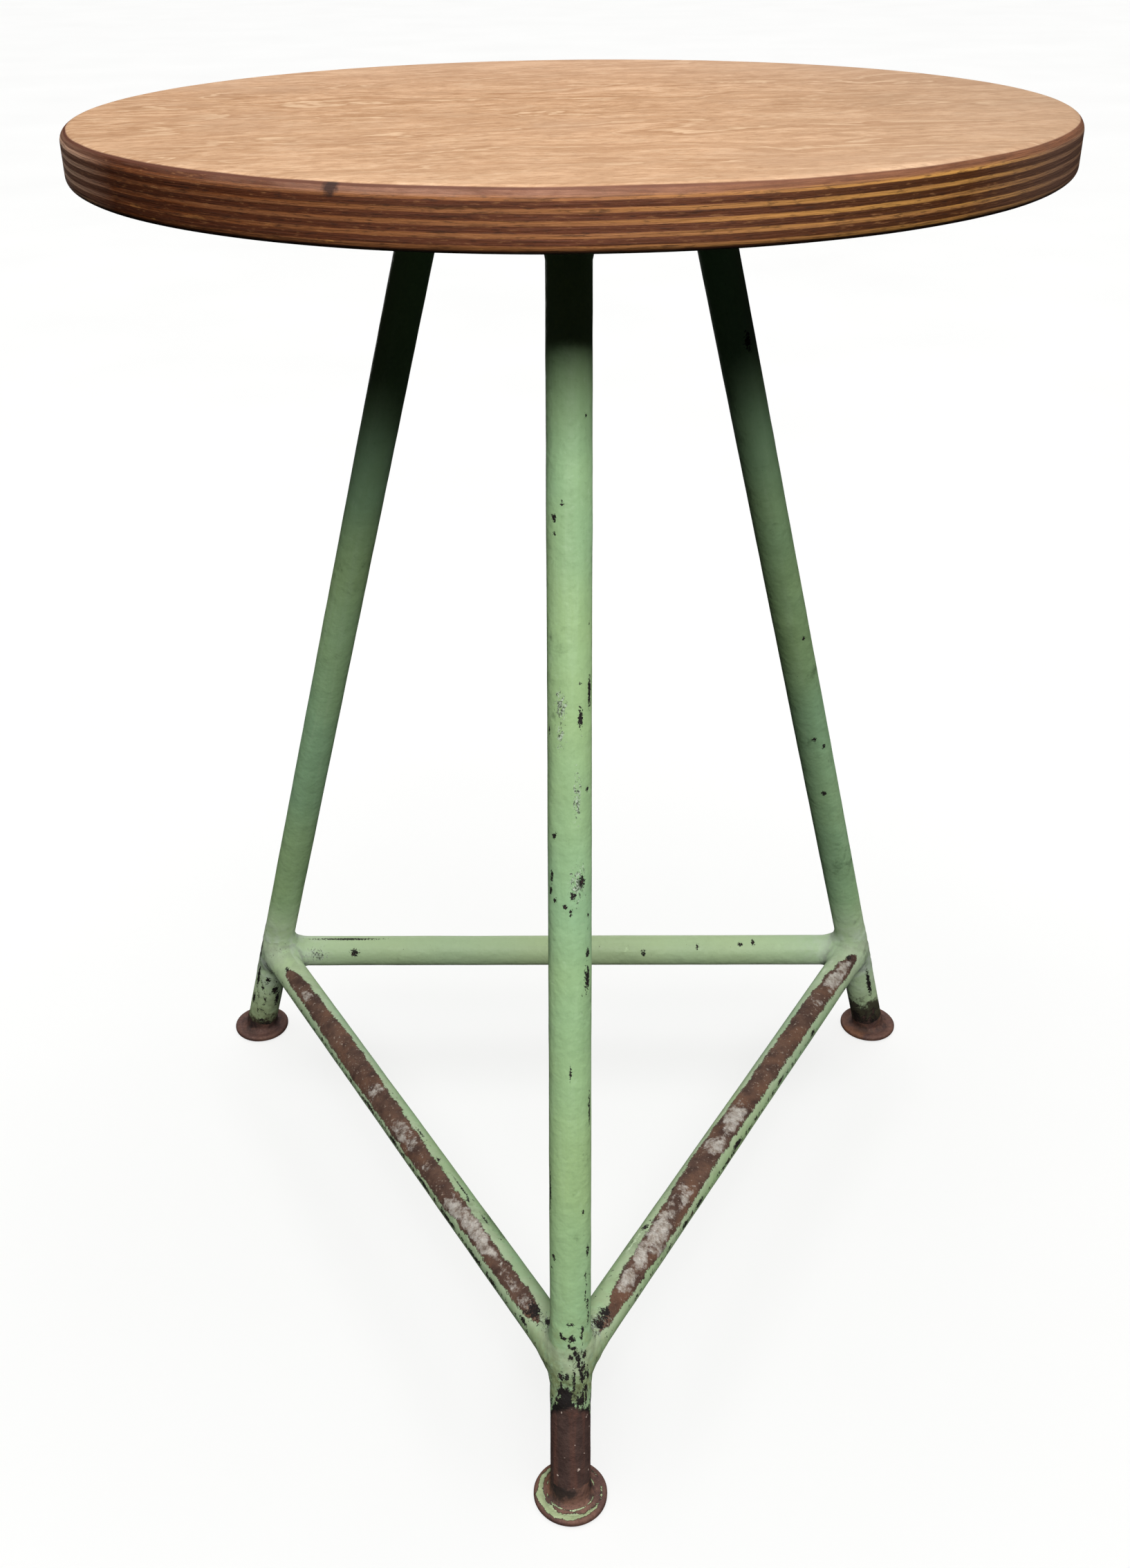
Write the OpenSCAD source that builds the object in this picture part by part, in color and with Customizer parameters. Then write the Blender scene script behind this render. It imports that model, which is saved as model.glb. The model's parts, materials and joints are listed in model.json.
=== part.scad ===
// Three-legged workshop stool: a round plywood seat on a welded steel rod frame.
// The seat turns on a screw spindle under its middle, and rises as it is turned.
// Origin: the stool's axis at floor level. +Z up, the front leg points along -Y.

/* [Seat] */
// Diameter of the plywood seat
seat_d = 350; // [300:5:400]
// Thickness of the plywood
seat_t = 17.5; // [12:0.5:20]
// Height of the seat's top when it is wound fully down
seat_h = 492.5; // [460:0.5:560]
// Radius of the rounding along the seat's top and bottom edges
seat_round = 4; // [2:0.5:5]

/* [Frame] */
// Diameter of the three leg rods and the three footrest bars
rod_d = 16; // [14:1:20]
// Wall thickness of the leg and footrest tubes
rod_wall = 2; // [1.5:0.5:3]
// Radius of the circle on which the leg axes meet the floor
floor_r = 199; // [180:1:220]
// Radius of the circle on which the leg axes meet the seat's underside
head_r = 57; // [50:1:70]
// Height of the footrest bars' axes
footrest_z = 58.5; // [50:0.5:90]
// Diameter of the foot discs
foot_d = 30; // [26:1:40]
// Thickness of the foot discs
foot_t = 3; // [2:0.5:5]
// Diameter of the top plate that joins the legs
plate_d = 146; // [140:2:160]
// Thickness of the top plate
plate_t = 4; // [3:0.5:6]

/* [Screw] */
// Outer diameter of the screw spindle
spindle_d = 14; // [12:1:16]
// How far the seat rises from its lowest to its highest position
seat_travel = 110; // [60:5:120]
// Outer diameter of the round spindle nut
nut_d = 28; // [24:1:32]
// Diameter of the flange that carries the seat
flange_d = 120; // [100:5:140]
// Thickness of the seat flange
flange_t = 4; // [3:0.5:5]
// Diameter of the circle of the seat screws
screw_pcd = 92; // [70:2:110]
// Number of seat screws
screw_count = 4; // [3:1:6]

/* [Hidden] */
$fn = 64;

paint = [0.62, 0.77, 0.55];
rust = [0.36, 0.24, 0.20];
steel = [0.55, 0.55, 0.56];
plywood = [0.80, 0.64, 0.45];

front = -90;
right = 30;
left = 150;

seat_low = seat_h - seat_t;
lean = atan((floor_r - head_r) / seat_low);
corner_r = floor_r - footrest_z * tan(lean);
rod_r = rod_d / 2;
bar_half = corner_r * sin(60);

// Levels of the plates under the seat, from the top down
flange_low = seat_low - flange_t;
rest_gap = 0.3;
nut_top = flange_low - rest_gap;
plate_top = seat_low - 8;
plate_low = plate_top - plate_t;
nut_low = plate_low - 19;
nut_h = nut_top - nut_low;

// The spindle's lower end: a journal holds a loose washer between its shoulder and a pin
spindle_r = spindle_d / 2;
journal_r = spindle_r - 2.5;
pin_d = 3;
pin_l = spindle_d;
washer_t = 3;
washer_d = spindle_d + 2.2;
stop_gap = 0.3;
washer_top = nut_low - seat_travel - stop_gap;
shoulder_z = washer_top + stop_gap;
pin_z = washer_top - washer_t - stop_gap - pin_d / 2;
spindle_low = pin_z - 6;
run_gap = 0.05;
fit_gap = 0.05;

// Seat screws: round heads under the flange
screw_r = 2.2;
screw_l = 15;
screw_head_r = 4.2;
screw_head_t = 2.4;

// Welds
bead = 4;
saddle_gap = 0.1;
eps = 0.02;

// A quarter-round corner of a turned profile, from angle a0 to a1 about (r, z)
function corner(r, z, size, a0, a1, steps = 8) =
    [for (i = [0:steps]) let (a = a0 + (a1 - a0) * i / steps)
        [r + size * cos(a), z + size * sin(a)]];

// Puts its children on the leg at this azimuth, with +Z running up along the leg
module along_leg(azimuth) {
    rotate([0, 0, azimuth])
        translate([floor_r, 0, 0])
            rotate([0, -lean, 0])
                children();
}

// Keeps only the part of its children between two heights
module between(low, high) {
    span = 600;
    difference() {
        children();
        translate([-span, -span, high]) cube([2 * span, 2 * span, span]);
        translate([-span, -span, low - span]) cube([2 * span, 2 * span, span]);
    }
}

module leg_rod(azimuth, radius) {
    along_leg(azimuth) translate([0, 0, -30]) cylinder(r = radius, h = seat_h + 80);
}

module leg(azimuth) {
    color(paint)
        between(foot_t, plate_low)
            difference() {
                leg_rod(azimuth, rod_r);
                leg_rod(azimuth, rod_r - rod_wall);
            }
}

// A fillet weld between the leg's top and the plate above it
module leg_weld(azimuth) {
    top_s = plate_low / cos(lean);
    color(paint)
        between(plate_low - 2 * bead, plate_low)
            difference() {
                along_leg(azimuth)
                    translate([0, 0, top_s - 2 * bead])
                        cylinder(r1 = rod_r, r2 = rod_r + 2 * bead, h = 4 * bead);
                leg_rod(azimuth, rod_r + eps);
            }
}

// Puts its children at the middle of the footrest bar whose outward azimuth is given,
// with +Z running along the bar
module along_bar(azimuth) {
    rotate([0, 0, azimuth])
        translate([corner_r / 2, 0, footrest_z])
            rotate([90, 0, 0])
                children();
}

// The wedge beyond the mitre plane at one leg, which belongs to the next bar
module beyond_mitre(azimuth, side) {
    rotate([0, 0, azimuth])
        translate([corner_r - 60, side > 0 ? -saddle_gap / 2 : saddle_gap / 2 - 60, footrest_z - 30])
            cube([120, 60, 60]);
}

module footrest_bar(azimuth) {
    color(paint)
        difference() {
            along_bar(azimuth) cylinder(r = rod_r, h = 2 * bar_half, center = true);
            along_bar(azimuth)
                cylinder(r = rod_r - rod_wall, h = 2 * bar_half + 2, center = true);
            for (end = [-60, 60]) leg_rod(azimuth + end, rod_r + saddle_gap);
            beyond_mitre(azimuth + 60, 1);
            beyond_mitre(azimuth - 60, -1);
        }
}

// The swollen bead round both bars where they meet a leg
module footrest_weld(azimuth) {
    swell = 2;
    from = 5;
    to = 16;
    color(paint)
        difference() {
            for (side = [-1, 1])
                along_bar(azimuth + side * 60)
                    translate([0, 0, side * bar_half])
                        rotate([side > 0 ? 180 : 0, 0, 0])
                            translate([0, 0, from])
                                cylinder(r1 = rod_r + swell, r2 = rod_r, h = to - from);
            leg_rod(azimuth, rod_r + eps);
            for (side = [-1, 1])
                along_bar(azimuth + side * 60)
                    cylinder(r = rod_r + eps, h = 2 * bar_half + 60, center = true);
        }
}

module foot_disc(azimuth) {
    edge = 1.2;
    color(rust)
        rotate([0, 0, azimuth])
            translate([floor_r - foot_t * tan(lean), 0, 0])
                rotate_extrude()
                    polygon(concat(
                        [[0, 0]],
                        corner(foot_d / 2 - edge, edge, edge, -90, 0, 4),
                        corner(foot_d / 2 - edge, foot_t - edge, edge, 0, 90, 4),
                        [[0, foot_t]]
                    ));
}

// The low fillet weld round the leg's foot
module foot_weld(azimuth) {
    weld_h = 2.5;
    color(rust)
        difference() {
            rotate([0, 0, azimuth])
                translate([floor_r - foot_t * tan(lean), 0, foot_t])
                    cylinder(r1 = rod_r + 2.6, r2 = rod_r + 0.6, h = weld_h);
            leg_rod(azimuth, rod_r + eps);
        }
}

// The round seat board with rounded edges and blind pilot holes for its screws
module seat_board() {
    edge_r = seat_d / 2;
    color(plywood)
        difference() {
            rotate_extrude($fn = 128)
                polygon(concat(
                    [[0, seat_low]],
                    corner(edge_r - seat_round, seat_low + seat_round, seat_round, -90, 0),
                    corner(edge_r - seat_round, seat_h - seat_round, seat_round, 0, 90),
                    [[0, seat_h]]
                ));
            at_screws()
                translate([0, 0, -eps])
                    cylinder(r = screw_r + fit_gap, h = screw_l - flange_t + 0.5);
        }
}

// Puts its children at every screw, on the seat's underside
module at_screws() {
    for (i = [0:screw_count - 1])
        rotate([0, 0, 45 + i * 360 / screw_count])
            translate([screw_pcd / 2, 0, seat_low])
                children();
}

module seat_flange() {
    clear_r = screw_r + 0.3;
    color(steel)
        difference() {
            translate([0, 0, flange_low]) cylinder(d = flange_d, h = flange_t);
            translate([0, 0, flange_low - 1]) cylinder(r = spindle_r + fit_gap, h = flange_t + 2);
            at_screws() translate([0, 0, -flange_t - 1]) cylinder(r = clear_r, h = flange_t + 2);
        }
}

module seat_screws() {
    color(steel)
        at_screws()
            rotate([180, 0, 0]) {
                translate([0, 0, flange_t]) screw_head();
                translate([0, 0, flange_t - screw_l]) cylinder(r = screw_r, h = screw_l + eps);
            }
}

// A low domed head with a straight slot
module screw_head() {
    slot_w = 1;
    slot_t = 1;
    difference() {
        cylinder(r1 = screw_head_r, r2 = 0.6 * screw_head_r, h = screw_head_t);
        translate([-screw_head_r, -slot_w / 2, screw_head_t - slot_t])
            cube([2 * screw_head_r, slot_w, slot_t + 1]);
    }
}

module spindle() {
    color(steel)
        difference() {
            union() {
                translate([0, 0, shoulder_z]) cylinder(r = spindle_r, h = seat_low - shoulder_z);
                translate([0, 0, spindle_low]) cylinder(r = journal_r, h = seat_low - spindle_low);
            }
            translate([-pin_l, 0, pin_z])
                rotate([0, 90, 0])
                    cylinder(r = pin_d / 2 + fit_gap, h = 2 * pin_l);
        }
}

// The weld between the spindle and the flange, which sinks into the nut's relief
module flange_weld() {
    rise = 2;
    color(steel)
        difference() {
            translate([0, 0, flange_low - rise])
                cylinder(r1 = spindle_r + 0.5, r2 = spindle_r + rise, h = rise);
            translate([0, 0, flange_low - 2 * rise]) cylinder(r = spindle_r + eps, h = 3 * rise);
        }
}

module stop_pin() {
    color(steel)
        translate([-pin_l / 2, 0, pin_z]) rotate([0, 90, 0]) cylinder(r = pin_d / 2, h = pin_l);
}

module stop_washer() {
    color(steel)
        difference() {
            translate([0, 0, washer_top - washer_t]) cylinder(d = washer_d, h = washer_t);
            translate([0, 0, washer_top - washer_t - 1])
                cylinder(r = journal_r + run_gap, h = washer_t + 2);
        }
}

module spindle_nut() {
    relief = 2.6;
    color(steel)
        difference() {
            translate([0, 0, nut_low]) cylinder(d = nut_d, h = nut_h);
            translate([0, 0, nut_low - 1]) cylinder(r = spindle_r + run_gap, h = nut_h + 2);
            translate([0, 0, nut_top - relief]) cylinder(r = spindle_r + relief, h = relief + 1);
        }
}

module nut_weld() {
    color(paint)
        difference() {
            translate([0, 0, plate_low - bead])
                cylinder(r1 = nut_d / 2 + 0.3, r2 = nut_d / 2 + bead, h = bead);
            translate([0, 0, plate_low - 2 * bead]) cylinder(r = nut_d / 2 + eps, h = 3 * bead);
        }
}

module top_plate() {
    color(paint)
        difference() {
            translate([0, 0, plate_low]) cylinder(d = plate_d, h = plate_t, $fn = 96);
            translate([0, 0, plate_low - 1]) cylinder(r = nut_d / 2 + fit_gap, h = plate_t + 2);
        }
}

seat_board();
seat_flange();
seat_screws();
spindle();
flange_weld();
stop_pin();
stop_washer();
spindle_nut();
nut_weld();
top_plate();
leg(front);  // leg_front
leg(right);  // leg_right
leg(left);  // leg_left
leg_weld(front);  // leg_weld_front
leg_weld(right);  // leg_weld_right
leg_weld(left);  // leg_weld_left
footrest_bar((front + right) / 2);  // footrest_bar_right
footrest_bar((left - 360 + front) / 2);  // footrest_bar_left
footrest_bar((right + left) / 2);  // footrest_bar_rear
footrest_weld(front);  // footrest_weld_front
footrest_weld(right);  // footrest_weld_right
footrest_weld(left);  // footrest_weld_left
foot_disc(front);  // foot_disc_front
foot_disc(right);  // foot_disc_right
foot_disc(left);  // foot_disc_left
foot_weld(front);  // foot_weld_front
foot_weld(right);  // foot_weld_right
foot_weld(left);  // foot_weld_left
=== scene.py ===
"""Looks of a three-legged workshop stool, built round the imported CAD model.

Each piece stands for one CAD node and is made from that node's place. It adds what the
real stool shows: lumpy welds, a thread on the spindle, worn paint, rust and plywood.
"""

import json
import math

import bpy
import numpy as np
from mathutils import Matrix, Vector

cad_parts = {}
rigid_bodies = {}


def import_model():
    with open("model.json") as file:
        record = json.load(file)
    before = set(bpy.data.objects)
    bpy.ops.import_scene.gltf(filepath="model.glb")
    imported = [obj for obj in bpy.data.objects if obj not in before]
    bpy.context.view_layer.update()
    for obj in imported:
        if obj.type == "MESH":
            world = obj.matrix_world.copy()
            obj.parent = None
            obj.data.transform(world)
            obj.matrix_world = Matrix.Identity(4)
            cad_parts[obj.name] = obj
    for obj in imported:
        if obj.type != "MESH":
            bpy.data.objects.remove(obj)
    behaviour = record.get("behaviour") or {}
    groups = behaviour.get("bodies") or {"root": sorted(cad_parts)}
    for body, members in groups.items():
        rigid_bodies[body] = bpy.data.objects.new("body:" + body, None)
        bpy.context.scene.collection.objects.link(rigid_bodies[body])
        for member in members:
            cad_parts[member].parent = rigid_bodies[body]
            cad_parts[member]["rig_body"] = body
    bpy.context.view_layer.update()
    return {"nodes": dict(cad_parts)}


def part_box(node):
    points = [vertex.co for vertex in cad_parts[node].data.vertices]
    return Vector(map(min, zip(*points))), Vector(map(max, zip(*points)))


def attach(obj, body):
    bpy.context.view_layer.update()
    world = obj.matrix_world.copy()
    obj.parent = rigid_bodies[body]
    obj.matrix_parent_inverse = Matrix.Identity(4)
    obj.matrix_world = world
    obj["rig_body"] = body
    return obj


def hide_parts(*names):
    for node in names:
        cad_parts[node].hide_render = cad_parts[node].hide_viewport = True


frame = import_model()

MM = 0.001


# ---- places from the frame

def size_of(node):
    low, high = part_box(node)
    return high - low


def middle_of(node):
    low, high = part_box(node)
    return (low + high) / 2


ROD_R = size_of("footrest_bar_rear").z / 2
BAR_Z = middle_of("footrest_bar_rear").z
CORNER_R = 2 * middle_of("footrest_bar_rear").y
FOOT_R = -middle_of("foot_disc_front").y
FOOT_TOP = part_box("foot_disc_front")[1].z
PLATE_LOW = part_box("top_plate")[0].z
SLOPE = (FOOT_R - CORNER_R) / (BAR_Z - FOOT_TOP)
REAR_X = math.cos(math.radians(30))
AZIMUTHS = {"front": -90.0, "right": 30.0, "left": 150.0}
BAR_ENDS = {"right": ("right", "front"), "left": ("left", "front"), "rear": ("left", "right")}


def unit(vector):
    return vector / np.linalg.norm(vector)


def outward(azimuth):
    a = math.radians(azimuth)
    return np.array([math.cos(a), math.sin(a), 0.0])


def leg_point(name, z):
    """The point of a leg's axis at height z."""
    return outward(AZIMUTHS[name]) * (CORNER_R + (BAR_Z - z) * SLOPE) + np.array([0, 0, z])


class Rod:
    """A straight round rod: its axis, and the directions of angle 0 and angle 90 round it."""

    def __init__(self, start, end, face, side):
        self.start = np.array(start, float)
        span = np.array(end, float) - self.start
        self.length = float(np.linalg.norm(span))
        self.axis = span / self.length
        face = face - self.axis * (self.axis @ face)
        self.face = unit(face)
        self.side = np.array(side, float)

    def locate(self, points):
        """Distance along the axis, angle round it and distance from it, for each point."""
        rel = points - self.start
        u, v = rel @ self.face, rel @ self.side
        return rel @ self.axis, np.arctan2(v, u), np.hypot(u, v)


def leg_rod(name):
    out = outward(AZIMUTHS[name])
    return Rod(leg_point(name, 0), leg_point(name, PLATE_LOW), out, np.cross([0, 0, 1], out))


def bar_rod(name):
    start, end = (leg_point(leg, BAR_Z) for leg in BAR_ENDS[name])
    away = start + end
    away[2] = 0
    return Rod(start, end, np.array([0, 0, 1.0]), unit(away))


RODS = {f"leg_{n}": leg_rod(n) for n in AZIMUTHS} | {f"bar_{n}": bar_rod(n) for n in BAR_ENDS}


# ---- wear, as fields of place

# Chips in the paint of each rod: mm along it, degrees round it, and half their length and width
# in tenths of a mm. On a leg, 0 degrees faces outward; on a bar it faces up and 90 outward.
SPOTS = {
    "leg_front": [
        (422, 43, 9, 6), (393, -19, 9, 7), (388, -43, 16, 12), (383, -40, 9, 6), (352, 58, 11, 5),
        (331, 29, 9, 6), (328, 61, 68, 10), (319, 28, 46, 10), (314, -64, 16, 5), (293, 51, 9, 8),
        (276, -44, 11, 12), (261, -55, 26, 8), (259, 32, 21, 15), (255, -60, 18, 8),
        (254, 8, 16, 11), (252, -42, 10, 8), (250, -13, 9, 11), (248, 2, 15, 6), (246, 54, 9, 6),
        (232, 54, 18, 12), (222, 52, 56, 14), (186, 0, 32, 5), (170, 63, 84, 6), (136, -72, 98, 8),
        (129, 37, 12, 6), (112, 54, 28, 9), (109, -54, 13, 12), (104, -62, 8, 7), (102, 46, 14, 5),
        (98, 49, 14, 5), (94, 47, 14, 5), (91, 47, 14, 5), (89, 56, 28, 7), (84, 60, 17, 5),
        (82, 0, 7, 20), (81, 56, 14, 5), (79, 34, 17, 7), (77, -26, 14, 7), (76, -18, 7, 10),
        (76, 3, 17, 13), (76, 30, 10, 7), (73, -4, 10, 5), (72, 7, 7, 13), (70, 11, 14, 7),
        (68, 1, 10, 13), (68, 19, 21, 8), (68, 42, 17, 11), (65, 23, 28, 7), (63, 39, 21, 5),
        (61, 30, 28, 7), (59, -28, 17, 13), (59, -10, 17, 8), (58, 9, 84, 5), (58, 34, 17, 13),
        (55, -26, 21, 5), (53, 47, 24, 11), (52, -20, 31, 24), (51, -4, 24, 14), (49, 47, 43, 5),
        (48, -35, 21, 14), (48, 25, 17, 14),
    ],
    "leg_right": [
        (418, -87, 46, 16), (383, -36, 240, 8), (272, -87, 12, 11), (214, -118, 14, 12),
        (208, -90, 13, 12), (180, -121, 14, 12), (41, -88, 126, 14), (14, -168, 60, 32),
        (8, -134, 60, 40),
    ],
    "leg_left": [
        (81, 32, 32, 16), (71, 32, 42, 16), (62, 52, 60, 14), (61, 113, 14, 18), (46, 114, 18, 14),
        (44, 67, 96, 14), (38, 150, 36, 22), (30, 166, 60, 16), (26, 61, 50, 15), (13, 118, 14, 22),
        (9, 142, 26, 34),
    ],
    "bar_rear": [
        (259, -24, 9, 26), (252, -33, 16, 12), (229, -41, 8, 20), (200, -64, 12, 22),
        (44, -63, 24, 22), (40, -2, 220, 8),
    ],
    "bar_left": [
        (300, 10, 24, 14), (291, 24, 44, 30), (290, 70, 34, 12), (264, 88, 50, 13),
        (250, 88, 24, 12), (246, 88, 40, 12), (238, -22, 50, 5), (225, -10, 14, 6),
        (224, 88, 50, 13), (216, -20, 80, 5), (200, 86, 50, 13), (196, -12, 14, 8),
        (176, -16, 50, 5), (168, 84, 50, 12), (140, 82, 40, 12), (28, 30, 16, 14),
    ],
    "bar_right": [
        (298, 30, 22, 20), (292, 24, 30, 22), (243, -27, 17, 16), (227, 86, 40, 14),
        (213, 84, 44, 14), (172, 76, 60, 15), (121, 78, 40, 13), (82, -67, 8, 8), (80, 78, 30, 12),
        (18, 25, 24, 12),
    ],
}

# Places that are scratched but keep most of their paint, in the same terms.
SCUFFS = {
    "leg_front": [(323, -25, 55, 20), (313, -25, 50, 16), (290, 20, 80, 12), (258, 20, 70, 24)],
    "leg_left": [(62, 140, 100, 40)],
    "bar_rear": [(24, -70, 50, 30)],
    "bar_left": [(302, 10, 70, 30)],
    "bar_right": [(300, 20, 80, 40)],
}

# Where small chips gather on each rod: mm along it, degrees round it, how far they spread in mm
# and in degrees, and how dense they are.
CROWDS = {
    "leg_front": [
        (240, 50, 40, 40, 0.22), (98, 58, 42, 20, 0.45), (66, 34, 22, 26, 0.6),
        (50, 10, 10, 90, 0.6),
    ],
    "leg_right": [(395, -36, 40, 14, 0.6), (8, -120, 16, 90, 1.25)],
    "leg_left": [(68, 46, 14, 24, 0.75), (30, 100, 30, 80, 0.6)],
    "bar_rear": [(157, -40, 150, 16, 0.3)],
    "bar_left": [(292, 28, 9, 30, 0.95), (210, -22, 110, 14, 0.5), (170, 86, 190, 13, 0.95)],
    "bar_right": [(296, 26, 10, 34, 0.95), (240, -28, 90, 14, 0.5), (170, 84, 190, 12, 0.85)],
}

# Worn strips along the tops of the two front bars: mm along, middle and half width in degrees.
STRIPS = {
    "bar_left": [
        (27, 34, -12), (31, 31, 18), (38, 27, 27), (55, 25, 30), (96, 25, 42), (112, 26, 44),
        (192, 34, 35), (254, 31, 27), (284, 28, 28), (291, 30, 22), (299, 34, -6),
    ],
    "bar_right": [
        (11, 40, -12), (15, 40, 14), (24, 36, 27), (37, 26, 33), (61, 17, 36), (131, 14, 36),
        (191, 6, 40), (243, 26, 37), (274, 30, 32), (286, 34, 20), (296, 40, 11), (306, 44, -8),
    ],
}

# How much bright steel shows in the rust of each strip: mm along, percent more or less than half.
SHINE = {
    "bar_left": [
        (28, -12), (55, 1), (64, -15), (122, -13), (136, -6), (152, -10), (170, -3), (182, -8),
        (196, 2), (208, -5), (224, 7), (248, 9), (260, -2), (272, 5), (288, 8), (296, -10),
    ],
    "bar_right": [
        (14, -4), (26, 4), (46, 3), (60, -2), (68, -10), (80, -2), (96, -14), (144, -12), (158, 7),
        (168, 7), (175, -10), (183, 6), (192, -8), (205, -10), (214, -3), (228, -8), (242, 9),
        (258, 8), (266, 0), (280, 4), (296, -5),
    ],
}

# Below this height the front leg is bare at its sides, and a little higher at its front.
BARE_Z = 34 * MM


def around(angle, degrees):
    """The signed difference between an angle in radians and one in degrees."""
    return (angle - np.radians(degrees) + math.pi) % (2 * math.pi) - math.pi


def wear_fields(points):
    """What the paint shader needs to know at each point, besides where it is."""
    places = {name: rod.locate(points) for name, rod in RODS.items()}
    gaps = np.array([place[2] - ROD_R for place in places.values()])
    ordered = np.sort(gaps, axis=0)
    on_rod = {name: place[2] < 1.6 * ROD_R for name, place in places.items()}

    joint = np.exp(-np.maximum(ordered[1], 0) / (5 * MM))
    weights = np.exp(-np.maximum(gaps - ordered[0], 0) / (1.5 * MM))
    flow = np.zeros_like(points)
    for weight, rod in zip(weights / weights.sum(0), RODS.values()):
        flow += weight[:, None] * (points - 0.93 * (points @ rod.axis)[:, None] * rod.axis)

    marks = []
    for table in (SPOTS, SCUFFS):
        deepest = np.full(len(points), -1.0)
        for name, spots in table.items():
            along, angle, _ = places[name]
            for at, degrees, half_length, half_width in spots:
                arc = around(angle, degrees) * ROD_R / ((half_width / 10 + 0.2) * MM)
                value = 1 - np.hypot((along - at * MM) / ((half_length / 10 + 0.3) * MM), arc)
                deepest = np.where(on_rod[name], np.maximum(deepest, value), deepest)
        marks.append(deepest.clip(-1, 1))

    crowd = np.zeros(len(points))
    for name, groups in CROWDS.items():
        along, angle, _ = places[name]
        for at, degrees, spread, spread_degrees, density in groups:
            turned_by = around(angle, degrees) / math.radians(spread_degrees)
            far = np.hypot((along - at * MM) / (spread * MM), turned_by)
            crowd = np.maximum(crowd, np.where(on_rod[name], density * np.exp(-far ** 2), 0))

    corners = [np.linalg.norm(points - leg_point(name, BAR_Z), axis=1) for name in AZIMUTHS]
    corner = np.exp(-(np.min(corners, axis=0) / (22 * MM)) ** 2)

    strip = np.full(len(points), -1.0)
    shine = np.zeros(len(points))
    for name, stations in STRIPS.items():
        along, angle, _ = places[name]
        at, share = np.array(SHINE[name], float).T
        shine = np.where(on_rod[name], np.interp(along / MM, at, share) / 100, shine)
        at, middle, half = np.array(stations, float).T
        middle = np.interp(along / MM, at, middle)
        half = np.interp(along / MM, at, half)
        inside = (np.radians(half) - np.abs(around(angle, middle))) * ROD_R
        strip = np.where(on_rod[name], np.maximum(strip, inside / (10 * MM)), strip)

    _, angle, off = places["leg_front"]
    edge = BARE_Z + 12 * MM * np.cos(angle).clip(0, 1)
    bare = np.where(off < 2.4 * ROD_R, (edge - points[:, 2]) / (10 * MM), -4.0)
    return {
        "joint": joint, "corner": corner, "flow": flow, "spots": marks[0], "scuffs": marks[1],
        "crowd": crowd, "strip": strip.clip(-1, 1), "shine": shine, "bare": bare.clip(-4, 4),
    }


# ---- meshes

def place_object(name, data):
    thing = bpy.data.objects.new(name, data)
    bpy.context.scene.collection.objects.link(thing)
    return thing


def make_piece(name, points, faces, material, node, fields=None):
    """A smooth mesh object that stands for a CAD node and rides on that node's body."""
    if material is PAINT:
        fields = wear_fields(points)
    mesh = bpy.data.meshes.new(name)
    mesh.from_pydata(points.tolist(), [], [list(map(int, face)) for face in faces])
    mesh.validate()
    mesh.shade_smooth()
    for key, values in (fields or {}).items():
        kind, channel = ("FLOAT", "value") if values.ndim == 1 else ("FLOAT_VECTOR", "vector")
        attribute = mesh.attributes.new(key, kind, "POINT")
        attribute.data.foreach_set(channel, values.astype(np.float32).ravel())
    mesh.materials.append(material)
    piece = place_object(name, mesh)
    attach(piece, frame["nodes"][node]["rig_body"])
    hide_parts(node)


def sheet_faces(rows, columns):
    """Quads between rows of points that each close on themselves."""
    faces = []
    for r in range(rows - 1):
        for c in range(columns):
            d = (c + 1) % columns
            low, high = r * columns, (r + 1) * columns
            faces.append((low + c, low + d, high + d, high + c))
    return faces


def lumps(points, size, seed, count=9):
    """A smooth field between about -1 and 1, whose waves are about `size` long."""
    draw = np.random.default_rng(seed)
    total = np.zeros(len(points))
    for _ in range(count):
        wave = draw.normal(size=3)
        wave *= 2 * math.pi / (size * draw.uniform(0.7, 1.6)) / np.linalg.norm(wave)
        total += np.sin(points @ wave + draw.uniform(0, 2 * math.pi))
    return total / math.sqrt(2 * count)


def lump_share(points, size, seed):
    """The same field as a share from 0 to 1."""
    return (0.5 + 0.5 * lumps(points, size, seed)).clip(0, 1)


def fillet(corners, steps=6, hold=0.35 * MM):
    """A profile through corners (r, z, radius), with arcs and close support points."""
    profile = []
    for i, (r, z, radius) in enumerate(corners):
        here = np.array([r, z], float)
        if radius == 0:
            profile.append(here)
            continue
        before = unit(np.array(corners[i - 1][:2], float) - here)
        after = unit(np.array(corners[(i + 1) % len(corners)][:2], float) - here)
        half = math.acos(np.clip(before @ after, -1, 1)) / 2
        reach = radius / math.tan(half)
        centre = here + unit(before + after) * radius / math.sin(half)
        a, b = here + before * reach - centre, here + after * reach - centre
        turn = math.pi - 2 * half
        profile.append(here + before * (reach + hold))
        for k in range(steps + 1):
            t = k / steps
            swept = a * math.sin((1 - t) * turn) + b * math.sin(t * turn)
            profile.append(centre + swept / math.sin(turn))
        profile.append(here + after * (reach + hold))
    return np.array(profile)


def end_fans(rows, columns):
    """Triangles from a sheet's first and last rows to the two points that follow its grid."""
    faces = []
    last, bottom = (rows - 1) * columns, rows * columns
    for c in range(columns):
        d = (c + 1) % columns
        faces.append((d, c, bottom))
        faces.append((last + c, last + d, bottom + 1))
    return faces


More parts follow.
